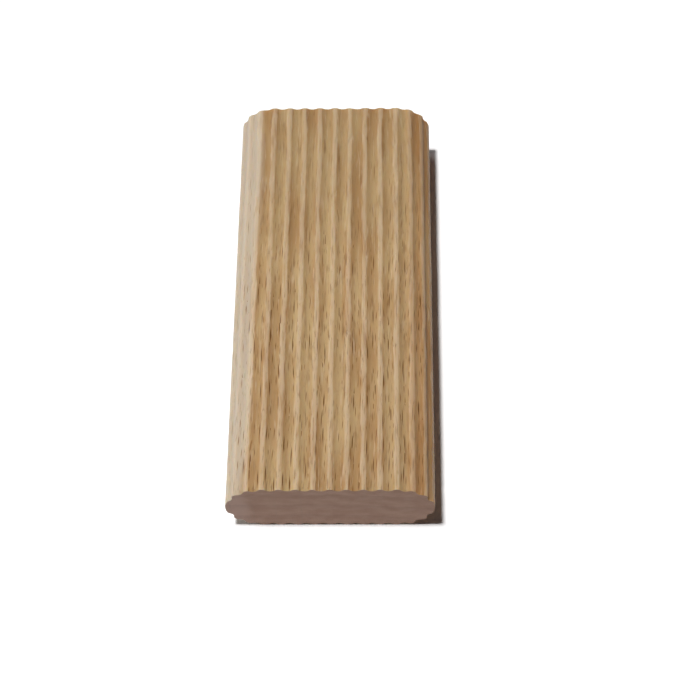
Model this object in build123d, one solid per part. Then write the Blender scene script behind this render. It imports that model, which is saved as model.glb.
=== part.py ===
from build123d import *
from math import degrees
import os

# Loose tenon: a short length of moulded beech strip with full-round edges and
# glue flutes along it. Half of it is glued into a mortise in each of two parts.
#
# Lengths are millimetres. X runs across the width, Y along the length and Z
# through the thickness. The tenon lies on one wide face, and the origin is
# under its middle, on the surface it lies on.

# Sizes that are set on their own
length = 50.0  # between the two sawn ends
width = 22.0  # over the two rounded edges
thickness = 8.0  # over the ridges of the two wide faces
flute_spacing = 1.75  # nominal distance from ridge to ridge, round the section
flute_depth = 0.24  # from the ridges to the bottom of a flute
ridge_width = 0.5  # between two flutes, before the ridge's corners are rounded
ridge_rounding = 0.55  # radius on the two corners of a ridge
plain_band = 2.1  # unfluted band on the crown of a rounded edge, round the curve

# The rounded edges fill a mortise that was cut by a bit of the tenon's thickness
edge_radius = thickness / 2
edge_centre_x = width / 2 - edge_radius
band_angle = degrees(plain_band / 2 / edge_radius)

# Line that the ridges of the upper half stand on: up one rounded edge from its
# plain band, across the wide face and down the other edge to its plain band
ridge_line = Wire(
    [
        CenterArc((edge_centre_x, 0), edge_radius, band_angle, 90 - band_angle),
        Line((edge_centre_x, edge_radius), (-edge_centre_x, edge_radius)),
        CenterArc((-edge_centre_x, 0), edge_radius, 90, 90 - band_angle),
    ]
)
flute_count = round(ridge_line.length / flute_spacing)
flute_width = ridge_line.length / flute_count - ridge_width

# Round-nosed cutter that takes a flute of that width and depth
cutter_radius = (flute_width**2 / 4 + flute_depth**2) / (2 * flute_depth)
cutter_height = cutter_radius - flute_depth


def flute_cutter(share):
    """The cutter's outline over the ridge line, at a share of the way along it."""
    outward = (ridge_line % share).rotate(Axis.Z, -90)
    return Pos(ridge_line @ share + outward * cutter_height) * Circle(cutter_radius)


def fluted_section():
    """Cross-section of the strip, centred on its own middle."""
    upper = [flute_cutter((n + 0.5) / flute_count) for n in range(flute_count)]
    lower = [Rot(0, 0, 180) * cutter for cutter in upper]
    section = SlotOverall(width, thickness) - upper - lower
    # Drawn in and let out again by one radius, the ridges keep rounded corners
    return offset(offset(section, -ridge_rounding), ridge_rounding)


def loose_tenon():
    """The strip's section run along Y, resting on its lower ridges."""
    upright = Plane.XZ.shift_origin((0, 0, thickness / 2)) * fluted_section()
    return extrude(upright, amount=length / 2, both=True)


os.makedirs("parts", exist_ok=True)
export_step(loose_tenon(), "parts/loose_tenon.step")
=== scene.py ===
from math import acos, cos, pi, radians, sin, sqrt

import bmesh
import bpy
from mathutils import Matrix, Vector, noise


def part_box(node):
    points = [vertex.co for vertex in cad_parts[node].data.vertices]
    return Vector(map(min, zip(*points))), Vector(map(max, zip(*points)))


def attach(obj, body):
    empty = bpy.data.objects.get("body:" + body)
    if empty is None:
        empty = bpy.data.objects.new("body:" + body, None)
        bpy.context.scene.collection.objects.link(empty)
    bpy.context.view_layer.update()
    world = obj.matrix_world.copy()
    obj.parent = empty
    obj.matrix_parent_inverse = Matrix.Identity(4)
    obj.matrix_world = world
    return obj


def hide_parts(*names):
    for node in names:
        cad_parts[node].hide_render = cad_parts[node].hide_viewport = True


# A loose tenon: a short length of moulded beech strip, fluted all round but for
# a plain band on each rounded edge, and sawn off square at both ends.
#
# The strip is modelled in millimetres about its own middle, then brought to
# metres and set down on the floor, where the CAD solid lies. The near end is
# the one at -Y, and left and right are as seen from there.

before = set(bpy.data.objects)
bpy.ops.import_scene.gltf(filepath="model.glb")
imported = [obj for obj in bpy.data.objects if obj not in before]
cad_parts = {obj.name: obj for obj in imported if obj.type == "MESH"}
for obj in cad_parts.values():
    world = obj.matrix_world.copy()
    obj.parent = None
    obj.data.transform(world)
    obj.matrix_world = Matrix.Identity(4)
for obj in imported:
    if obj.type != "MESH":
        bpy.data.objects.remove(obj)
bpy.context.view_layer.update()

MM = 0.001
low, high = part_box("loose_tenon")
size = (high - low) / MM
LENGTH = size.y
THICKNESS = size.z

# The moulded section
EDGE_RADIUS = THICKNESS / 2
EDGE_CENTRE = size.x / 2 - EDGE_RADIUS
FLUTES_ON_QUARTER = 7  # from the middle of a wide face to a plain band
FLUTE_DEPTH = 0.24
RIDGE_WIDTH = 0.5  # between the two flutes beside it, before its corners are rounded
RIDGE_ROUNDING = 0.55
PLAIN_BAND = 2.1  # on the crown of a rounded edge, round the curve

PLAIN_ANGLE = PLAIN_BAND / 2 / EDGE_RADIUS
SPACING = (EDGE_CENTRE + EDGE_RADIUS * (pi / 2 - PLAIN_ANGLE)) / FLUTES_ON_QUARTER
CUTTER_REACH = (SPACING - RIDGE_WIDTH) / 2
CUTTER_RADIUS = (CUTTER_REACH**2 + FLUTE_DEPTH**2) / (2 * FLUTE_DEPTH)
CUTTER_HEIGHT = CUTTER_RADIUS - FLUTE_DEPTH

# How finely the surface is divided
FLUTE_STEPS = 6
RIDGE_STEPS = 3  # for the rounding on each side of a ridge
BAND_STEPS = 6
RINGS = 200

# Unevenness of the moulded surface, in millimetres
WANDER = 0.09  # of a flute to either side, over a few millimetres
RIPPLE = 0.02  # of its sides, over a millimetre or two
RIDGE_WEAR = 0.035
TEAR_DEPTH = 0.09  # most that a small break takes off a ridge
TEAR_START = 0.35  # how strong the noise of the breaks has to be for one
TEAR_SLOPE = 0.3  # depth of a break for each unit of noise over that
LIP_DROP = 0.12  # how much deeper the saw left the flutes at the near end
LIP_REACH = 0.55  # and how far in from that end
END_BAND = 0.08  # width of the rim kept round a sawn face
BELOW_FLUTES = -0.01  # a crest under this is on that rim, and has no unevenness of its own


# ---------------------------------------------------------------- the strip


def on_ridge_line(distance):
    """Point this far round the section from the middle of a wide face, and the way out there."""
    turn = max(distance - EDGE_CENTRE, 0) / EDGE_RADIUS
    outward = Vector((sin(turn), 0, cos(turn)))
    return Vector((min(distance, EDGE_CENTRE), 0, 0)) + outward * EDGE_RADIUS, outward


def spun(bm, vert, centre, angle, steps):
    """Spins one vertex about a line along the strip; gives the last vertex of the arc."""
    swept = bmesh.ops.spin(
        bm, geom=[vert], cent=centre, axis=(0, 1, 0), angle=angle, steps=steps
    )
    return next(item for item in swept["geom_last"] if isinstance(item, bmesh.types.BMVert))


def rounding_reach(middle):
    """From a flute's middle, along the ridge line, to where the rounding beside it begins."""
    apart = CUTTER_RADIUS + RIDGE_ROUNDING
    if middle < EDGE_CENTRE:
        return sqrt(apart**2 - (CUTTER_HEIGHT + RIDGE_ROUNDING) ** 2)
    to_axis = EDGE_RADIUS + CUTTER_HEIGHT
    to_rounding = EDGE_RADIUS - RIDGE_ROUNDING
    cosine = (to_axis**2 + to_rounding**2 - apart**2) / (2 * to_axis * to_rounding)
    return EDGE_RADIUS * acos(cosine)


def flute(bm, middle):
    """One flute and the roundings beside it, as three arcs; gives its first and last vertex."""
    bottom, outward = on_ridge_line(middle)
    axis = bottom + outward * CUTTER_HEIGHT
    reach = rounding_reach(middle)
    crowns, centres, meetings = [], [], []
    for side in (-1, 1):
        crown, outward = on_ridge_line(middle + side * reach)
        centre = crown - outward * RIDGE_ROUNDING
        crowns.append(crown)
        centres.append(centre)
        meetings.append(axis + (centre - axis).normalized() * CUTTER_RADIUS)
    rounding_angle = (crowns[0] - centres[0]).angle(axis - centres[0])
    flute_angle = (meetings[0] - axis).angle(meetings[1] - axis)
    first = bm.verts.new(crowns[0])
    at = spun(bm, first, centres[0], rounding_angle, RIDGE_STEPS)
    at = spun(bm, at, axis, -flute_angle, FLUTE_STEPS)
    return first, spun(bm, at, centres[1], rounding_angle, RIDGE_STEPS)


def outline(bm):
    """The closed line round the section."""
    at = bm.verts.new(on_ridge_line(0)[0])
    for n in range(FLUTES_ON_QUARTER):
        first, last = flute(bm, (n + 0.5) * SPACING)
        bm.edges.new((at, first))
        at = last
    edge_centre = Vector((EDGE_CENTRE, 0, 0))
    to_middle = (at.co - edge_centre).angle(Vector((1, 0, 0)))
    spun(bm, at, edge_centre, to_middle, BAND_STEPS)
    for axis in "XZ":
        whole = bm.verts[:] + bm.edges[:]
        bmesh.ops.mirror(bm, geom=whole, matrix=Matrix(), merge_dist=1e-5, axis=axis)


def strip(bm):
    """The section run along the strip, divided into rings, with the two sawn faces inset."""
    outline(bm)
    start = bmesh.ops.edgeloop_fill(bm, edges=bm.edges[:])["faces"]
    run = bmesh.ops.extrude_face_region(bm, geom=start)
    far = [item for item in run["geom"] if isinstance(item, bmesh.types.BMVert)]
    bmesh.ops.translate(bm, verts=bm.verts[:], vec=(0, -LENGTH / 2, 0))
    bmesh.ops.translate(bm, verts=far, vec=(0, LENGTH, 0))
    lengthways = [edge for edge in bm.edges if edge.calc_length() > LENGTH / 2]
    bmesh.ops.subdivide_edges(bm, edges=lengthways, cuts=RINGS - 1)
    ends = [face for face in bm.faces if len(face.verts) > 4]
    for face in bm.faces:
        face.smooth = True
    bmesh.ops.inset_region(bm, faces=ends, thickness=END_BAND, use_even_offset=True)
    bmesh.ops.recalc_face_normals(bm, faces=bm.faces[:])
    for face in bm.faces:
        if abs(face.normal.y) > 0.9:
            face.smooth = False
            face.material_index = 1


def drift(place, across, along, seed):
    """Smooth noise between -1 and 1 whose swells are this long across and along the grain."""
    return noise.noise(
        Vector((place.x / across, place.y / along, place.z / across)) + Vector((seed,) * 3)
    )


def roughen(bm):
    """Gives the moulded surface its uneven flutes and its worn and torn ridges. Each vertex keeps
    how high it stands, from 0 in the bottom of a flute to 1 on a ridge, as its crest."""
    crests = bm.verts.layers.float.new("crest")
    for vert in bm.verts:
        place = vert.co.copy()
        core = Vector((max(-EDGE_CENTRE, min(EDGE_CENTRE, place.x)), place.y, 0))
        outward = (place - core).normalized()
        crest = 1 - (EDGE_RADIUS - (place - core).length) / FLUTE_DEPTH
        lip = LIP_DROP * max(1 - (place.y + LENGTH / 2) / LIP_REACH, 0)
        vert.co -= outward * lip * min(1 - crest, 1)  # the rim inside goes down with the edge
        if crest < BELOW_FLUTES:
            continue
        vert[crests] = crest
        sideways = outward.cross(Vector((0, 1, 0)))
        wander = WANDER * drift(place, across=9, along=6, seed=3.7)
        ripple = RIPPLE * drift(place, across=0.9, along=1.7, seed=11.3)
        worn = RIDGE_WEAR * (0.5 + 0.5 * drift(place, across=1.1, along=3.5, seed=23.1))
        break_here = drift(place, across=0.8, along=1.3, seed=31.9)
        rough_patch = 0.5 * drift(place, across=3, along=7, seed=41.3)
        torn = TEAR_SLOPE * max(break_here + rough_patch - TEAR_START, 0)
        wear = (worn + min(torn, TEAR_DEPTH)) * max(crest, 0)
        vert.co += sideways * (wander + ripple) - outward * wear


def loose_tenon():
    bm = bmesh.new()
    strip(bm)
    roughen(bm)
    for edge in bm.edges:
        if len({face.material_index for face in edge.link_faces}) > 1:
            edge.smooth = False
    bmesh.ops.scale(bm, verts=bm.verts[:], vec=(MM,) * 3)
    bmesh.ops.translate(bm, verts=bm.verts[:], vec=(low + high) / 2)
    mesh = bpy.data.meshes.new("fluted_tenon")
    bm.to_mesh(mesh)
    bm.free()
    piece = bpy.data.objects.new("fluted_tenon", mesh)
    bpy.context.scene.collection.objects.link(piece)
    return piece


# ------------------------------------------------------------- the finishes

# Colours of the long grain
DEEP_WOOD = (0.442, 0.263, 0.113, 1)
LIGHT_WOOD = (0.541, 0.371, 0.184, 1)
LATE_WOOD = (0.34, 0.19, 0.078, 1)
DARK_STREAK = (0.28, 0.15, 0.06, 1)
PALE_STREAK = (0.67, 0.505, 0.33, 1)
# Painted highlight: the pale colour laid over the tops of the ridges.
PAINTED_RIDGE_HIGHLIGHT = (0.665, 0.53, 0.368, 1)
# Painted sheen: the pale colour laid over the left edge, where the light falls.
PAINTED_LEFT_SHEEN = (0.605, 0.53, 0.425, 1)
COARSE_FIBRE = (0.20, 0.10, 0.035, 1)
FAINT_RAY = (0.23, 0.105, 0.03, 1)
BOLD_RAY = (0.15, 0.062, 0.014, 1)

# What the colours under them are multiplied by
QUIET_GRAIN = (0.87, 0.86, 0.84, 1)  # where the figure is weak
PAINTED_SHADE_TINT = (1.08, 0.97, 0.89, 1)  # painted shade tint along the right edge, the side turned away from the light: redder and less blue

# Colours of the end grain
END_DEEP_WOOD = (0.565, 0.35, 0.252, 1)
END_LIGHT_WOOD = (0.655, 0.43, 0.316, 1)
# Painted light: the paler colour laid over the left part of each sawn end, the side the light comes
# from.
END_PAINTED_LEFT_LIGHT = (0.71, 0.49, 0.39, 1)
END_LATE_WOOD = (0.31, 0.17, 0.135, 1)
PORE = (0.22, 0.13, 0.09, 1)
END_RAY = (0.50, 0.36, 0.27, 1)

SHEEN = 0.1  # of bare dry wood, either way it is cut

# Growth layers, in millimetres
LAYER_THICKNESS = 2.3
LAYER_SLOPE = 0.03  # rise for each millimetre across
LAYER_CURVE = 0.0035  # rise for each square millimetre across


class Finish:
    """A material in the making: each call adds a node and gives the output that is used."""

    def __init__(self, name):
        self.material = bpy.data.materials.new(name)
        self.material.use_nodes = True
        self.tree = self.material.node_tree
        self.shader = self.tree.nodes["Principled BSDF"]

    def add(self, kind, inputs, output=0, **settings):
        node = self.tree.nodes.new("ShaderNode" + kind)
        for name, value in settings.items():
            setattr(node, name, value)
        for name, value in inputs.items():
            self.feed(node.inputs[name], value)
        return node.outputs[output]

    def feed(self, socket, value):
        if isinstance(value, bpy.types.NodeSocket):
            self.tree.links.new(value, socket)
        else:
            socket.default_value = value

    def done(self, surface):
        """Gives the shader these values and hands over the material."""
        for name, value in surface.items():
            self.feed(self.shader.inputs[name], value)
        return self.material

    def maths(self, operation, *values):
        return self.add("Math", dict(enumerate(values)), operation=operation)

    def stretched(self, place, sizes):
        """The place in a grid whose cells have these sizes in millimetres."""
        return self.add("VectorMath", {0: place, 1: sizes}, operation="DIVIDE")

    def noise(self, place, sizes, detail=2.0, roughness=0.5):
        inputs = {
            "Vector": self.stretched(place, sizes),
            "Scale": 1.0,
            "Detail": detail,
            "Roughness": roughness,
        }
        return self.add("TexNoise", inputs, "Fac")

    def ease(self, value, start, stop, low=0.0, high=1.0):
        """Maps a value between start and stop to between low and high, with soft ends."""
        inputs = {"Value": value, "From Min": start, "From Max": stop, "To Min": low, "To Max": high}
        return self.add("MapRange", inputs, interpolation_type="SMOOTHSTEP")

    def mix(self, share, first, second, blend="MIX"):
        """Goes from the first colour to the second; 6, 7 and 2 are the node's colour sockets."""
        inputs = {0: share, 6: first, 7: second}
        return self.add("Mix", inputs, 2, data_type="RGBA", blend_type=blend)

    def layered(self, tone, *layers):
        """Lays colours over a tone one after another, each with its own share."""
        for share, colour in layers:
            tone = self.mix(share, tone, colour)
        return tone

    def across(self, place):
        """How far the place lies to the right of the strip's middle."""
        return self.add("SeparateXYZ", {0: place}, 0)


def wood_place(finish):
    """The place in the wood in millimetres, with the grain's slow wander taken into it."""
    coordinates = finish.add("TexCoord", {}, "Object")
    place = finish.add("VectorMath", {0: coordinates, "Scale": 1 / MM}, operation="SCALE")
    inputs = {"Vector": finish.stretched(place, (9.0, 26.0, 9.0)), "Scale": 1.0, "Detail": 1.0}
    swell = finish.add("TexNoise", inputs, "Color")
    centred = finish.add("VectorMath", {0: swell, 1: (0.5, 0.5, 0.5)}, operation="SUBTRACT")
    bend = finish.add("VectorMath", {0: centred, 1: (1.6, 0.0, 1.2)}, operation="MULTIPLY")
    return finish.add("VectorMath", {0: place, 1: bend}, operation="ADD")


def rays(finish, place, cell, half_width, half_length, share):
    """Ray flecks: thin upright plates in the wood. They cut the wide faces as short spindles,
    the rounded edges as broad flecks and the sawn ends as lines. About this share of them shows."""
    grid = finish.stretched(place, cell)
    cells = finish.add("TexVoronoi", {"Vector": grid, "Scale": 1.0, "Randomness": 1.0}).node
    centre = cells.outputs["Position"]
    offset = finish.add("VectorMath", {0: grid, 1: centre}, operation="SUBTRACT")
    spindle = (cell[0] / half_width, cell[1] / half_length, 0.0)
    inside = finish.add("VectorMath", {0: offset, 1: spindle}, operation="MULTIPLY")
    reach = finish.add("VectorMath", {0: inside}, "Value", operation="LENGTH")
    chance = finish.add("SeparateColor", {0: cells.outputs["Color"]}, 0)
    strength = finish.ease(chance, 1 - share, 1 - share / 2)
    return finish.maths("MULTIPLY", finish.ease(reach, 1.0, 0.25), strength)


def growth(finish, place):
    """Growth layers, nearly level with the wide faces: 0 in the pale early wood, 1 in the late."""
    across, _, up = finish.add("SeparateXYZ", {0: place}).node.outputs
    curved = finish.maths("MULTIPLY", finish.maths("MULTIPLY", across, across), LAYER_CURVE)
    tilted = finish.maths("MULTIPLY", across, LAYER_SLOPE)
    depth = finish.maths("ADD", finish.maths("ADD", up, curved), tilted)
    layer = finish.maths("FRACT", finish.maths("DIVIDE", depth, LAYER_THICKNESS))
    rise = finish.ease(layer, 0.35, 0.93)
    fall = finish.ease(layer, 1.0, 0.95)
    return finish.maths("MULTIPLY", rise, fall)


def beech(name):
    """What the two cuts of the wood share: its place, growth layers, and bold and faint rays."""
    finish = Finish(name)
    place = wood_place(finish)
    bold = rays(finish, place, cell=(0.8, 3.1, 25.0), half_width=0.08, half_length=1.3, share=0.55)
    faint = rays(finish, place, cell=(0.45, 2.2, 18.0), half_width=0.055, half_length=0.8, share=0.7)
    return finish, place, growth(finish, place), bold, faint


def painted_left_light(finish, place):
    """Painted light along the left edge, paler there because that side faces the light: 1 well inside
    it, 0 away from it.
    """
    sway = finish.noise(place, (1.2, 9.0, 1.2), 2.0)
    return finish.ease(finish.maths("ADD", finish.across(place), sway), -7.6, -8.9)


def figure_strength(finish, place):
    """How strongly the ray flecks show: less towards the far end, where the grain dips away."""
    along = finish.add("SeparateXYZ", {0: place}, 1)
    patches = finish.noise(place, (5.0, 9.0, 5.0), 2.0)
    patchy_along = finish.maths("MULTIPLY_ADD", patches, 30.0, along)
    return finish.ease(patchy_along, 36.0, 8.0, 0.15, 1.0)


def long_grain_tone(finish, place, crest, late, figure):
    """The wood's colour along the grain, before its fibres and rays, with light painted on it: a
    highlight along the ridges, a sheen along the left edge and a tint of shade along the right edge.
    """
    broad = finish.noise(place, (2.2, 14.0, 2.2), 2.0)
    dark_streaks = finish.noise(place, (0.45, 4.0, 0.45), 3.0, 0.6)
    pale_streaks = finish.noise(place, (0.22, 3.2, 0.3), 2.0, 0.55)
    # Painted highlight along the ridges: strongest towards their tops, broken up by the pale streaks.
    ridge = finish.ease(finish.maths("MULTIPLY_ADD", pale_streaks, 0.9, crest), 1.13, 1.48)
    tone = finish.layered(
        finish.mix(finish.ease(broad, 0.38, 0.62), DEEP_WOOD, LIGHT_WOOD),
        (finish.maths("MULTIPLY", late, 0.35), LATE_WOOD),
        (finish.ease(dark_streaks, 0.5, 0.2, 0.0, 0.75), DARK_STREAK),
        (finish.ease(pale_streaks, 0.55, 0.8, 0.0, 0.65), PALE_STREAK),
        # painted highlight on the ridges
        (finish.maths("MULTIPLY", ridge, 0.57), PAINTED_RIDGE_HIGHLIGHT),
    )
    tone = finish.mix(finish.maths("SUBTRACT", 1.0, figure), tone, QUIET_GRAIN, "MULTIPLY")
    # Painted sheen along the left edge, where the light falls.
    tone = finish.mix(finish.maths("MULTIPLY", painted_left_light(finish, place), 0.65), tone, PAINTED_LEFT_SHEEN)
    # Painted shade tint: the right edge, turned away from the light, is made redder and less blue.
    shaded_right_edge = finish.ease(finish.across(place), 7.4, 9.4)
    return finish.mix(shaded_right_edge, tone, PAINTED_SHADE_TINT, "MULTIPLY")


def ray_strength(finish, place, crest, figure):
    """How strongly the rays show: less on the ridges, and least on the crowns of the edges."""
    on_flutes = finish.maths("MULTIPLY", figure, finish.ease(crest, 1.0, 0.6, 0.4, 1.0))
    from_middle = finish.maths("ABSOLUTE", finish.across(place))
    return finish.maths("MULTIPLY", on_flutes, finish.ease(from_middle, 9.6, 10.7, 1.0, 0.35))


def long_grain():
    finish, place, late, bold, faint = beech("beech_long_grain")
    crest = finish.add("Attribute", {}, "Fac", attribute_name="crest")
    fibres = finish.noise(place, (0.1, 1.4, 0.1), 2.0, 0.6)
    figure = figure_strength(finish, place)
    shown = ray_strength(finish, place, crest, figure)
    coarse = finish.ease(fibres, 0.42, 0.2, 0.0, 0.9)
    tone = finish.layered(
        long_grain_tone(finish, place, crest, late, figure),
        (finish.maths("MULTIPLY", coarse, figure), COARSE_FIBRE),
        (finish.maths("MULTIPLY", faint, shown), FAINT_RAY),
        (finish.maths("MULTIPLY", bold, shown), BOLD_RAY),
    )
    bump = {"Height": finish.maths("SUBTRACT", fibres, bold), "Strength": 0.5, "Distance": 0.012 * MM}
    surface = {
        "Base Color": tone,
        "Roughness": finish.ease(fibres, 0.2, 0.8, 0.5, 0.65),
        "Specular IOR Level": SHEEN,
        "Subsurface Weight": 0.8,
        "Subsurface Radius": (1.0, 0.6, 0.3),
        "Subsurface Scale": 1.2 * MM,
        "Normal": finish.add("Bump", bump),
    }
    return finish.done(surface)


def end_grain():
    finish, place, late, bold, _ = beech("beech_end_grain")
    blotches = finish.noise(place, (2.2, 6.0, 1.1), 3.0, 0.6)
    pores = finish.noise(place, (0.07, 1.0, 0.07), 1.0)
    tone = finish.layered(
        finish.mix(finish.ease(blotches, 0.3, 0.7), END_DEEP_WOOD, END_LIGHT_WOOD),
        # painted light on the left part of the end
        (finish.maths("MULTIPLY", painted_left_light(finish, place), 0.85), END_PAINTED_LEFT_LIGHT),
        (finish.maths("MULTIPLY", late, 0.17), END_LATE_WOOD),
        (finish.ease(pores, 0.5, 0.75, 0.0, 0.5), PORE),
        (finish.maths("MULTIPLY", bold, 0.3), END_RAY),
    )
    bump = {"Height": pores, "Strength": 0.5, "Distance": 0.01 * MM}
    surface = {
        "Base Color": tone,
        "Roughness": finish.ease(pores, 0.2, 0.8, 0.62, 0.78),
        "Specular IOR Level": SHEEN,
        "Normal": finish.add("Bump", bump),
    }
    return finish.done(surface)


# ---------------------------------------------------------- floor and light

KEY_TILT = radians(12.6)  # from straight overhead, towards the left edge
KEY_STRENGTH = 2.78
KEY_SPREAD = radians(7)
WINDOW_AZIMUTH = radians(122)
WINDOW_HEIGHT = radians(18)
WINDOW_STRENGTH = 0.68
WINDOW_SPREAD = radians(20)
FLOOR_COLOUR = (0.7, 0.7, 0.72, 1)
FLOOR_SHOWN = (1.15, 1.15, 1.15, 1)  # pale enough to show white away from the shadow
AMBIENT = (0.011, 0.012, 0.021, 1)


def seen(tree):
    """1 for the rays that see the surroundings, also in a gloss or through glass, else 0."""
    path = tree.nodes.new("ShaderNodeLightPath")
    shows = path.outputs["Is Camera Ray"]
    for kind in ("Is Glossy Ray", "Is Transmission Ray"):
        either = tree.nodes.new("ShaderNodeMath")
        either.operation = "MAXIMUM"
        tree.links.new(shows, either.inputs[0])
        tree.links.new(path.outputs[kind], either.inputs[1])
        shows = either.outputs[0]
    return shows


def mixed(tree, kind, lighting, shown, output):
    """Joins two shaders of one kind to the output: one lights the wood, the other is seen."""
    mix = tree.nodes.new("ShaderNodeMixShader")
    tree.links.new(seen(tree), mix.inputs[0])
    for side, colour in ((1, lighting), (2, shown)):
        shader = tree.nodes.new(kind)
        shader.inputs["Color"].default_value = colour
        tree.links.new(shader.outputs[0], mix.inputs[side])
    tree.links.new(mix.outputs[0], output.inputs["Surface"])


def floor():
    bm = bmesh.new()
    bmesh.ops.create_grid(bm, x_segments=1, y_segments=1, size=1.5)
    mesh = bpy.data.meshes.new("floor")
    bm.to_mesh(mesh)
    bm.free()
    material = bpy.data.materials.new("white_floor")
    material.use_nodes = True
    tree = material.node_tree
    tree.nodes.remove(tree.nodes["Principled BSDF"])
    output = tree.nodes["Material Output"]
    mixed(tree, "ShaderNodeBsdfDiffuse", FLOOR_COLOUR, FLOOR_SHOWN, output)
    mesh.materials.append(material)
    made = bpy.data.objects.new("floor", mesh)
    bpy.context.scene.collection.objects.link(made)
    return made


def surroundings():
    world = bpy.data.worlds.new("surroundings")
    world.use_nodes = True
    tree = world.node_tree
    tree.nodes.remove(tree.nodes["Background"])
    output = tree.nodes["World Output"]
    mixed(tree, "ShaderNodeBackground", AMBIENT, (1, 1, 1, 1), output)
    bpy.context.scene.world = world


def lamp(name, kind, **settings):
    data = bpy.data.lights.new(name, kind)
    for setting, value in settings.items():
        setattr(data, setting, value)
    made = bpy.data.objects.new(name, data)
    bpy.context.scene.collection.objects.link(made)
    return made


def sun(name, azimuth, elevation, strength, spread):
    """Light from far off; azimuth 0 is from in front of the tenon, 90 from its left."""
    made = lamp(name, "SUN", energy=strength, angle=spread)
    back = Vector((-sin(azimuth) * cos(elevation), -cos(azimuth) * cos(elevation), sin(elevation)))
    made.rotation_euler = back.to_track_quat("Z", "Y").to_euler()


def light():
    sun("key", radians(90), pi / 2 - KEY_TILT, KEY_STRENGTH, KEY_SPREAD)
    sun("window", WINDOW_AZIMUTH, WINDOW_HEIGHT, WINDOW_STRENGTH, WINDOW_SPREAD)


# --------------------------------------------------------------- the camera

CAMERA_PLACE = Vector((6.28, -114.81, 181.04)) * MM
CAMERA_PITCH = radians(58.33)  # below level
CAMERA_TURN = radians(2.29)  # to the left of straight along the strip
CAMERA_ROLL = radians(-2.11)
CAMERA_LENS = 97.4


def camera():
    data = bpy.data.cameras.new("camera")
    data.sensor_width = 36
    data.lens = CAMERA_LENS
    data.clip_start = 10 * MM
    made = bpy.data.objects.new("camera", data)
    bpy.context.scene.collection.objects.link(made)
    made.matrix_world = (
        Matrix.Translation(CAMERA_PLACE)
        @ Matrix.Rotation(CAMERA_TURN, 4, "Z")
        @ Matrix.Rotation(pi / 2 - CAMERA_PITCH, 4, "X")
        @ Matrix.Rotation(CAMERA_ROLL, 4, "Z")
    )
    bpy.context.scene.camera = made


bpy.context.scene.view_settings.view_transform = "Standard"
camera()
light()
surroundings()
floor()

tenon = loose_tenon()
tenon.data.materials.append(long_grain())
tenon.data.materials.append(end_grain())
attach(tenon, "root")
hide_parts("loose_tenon")
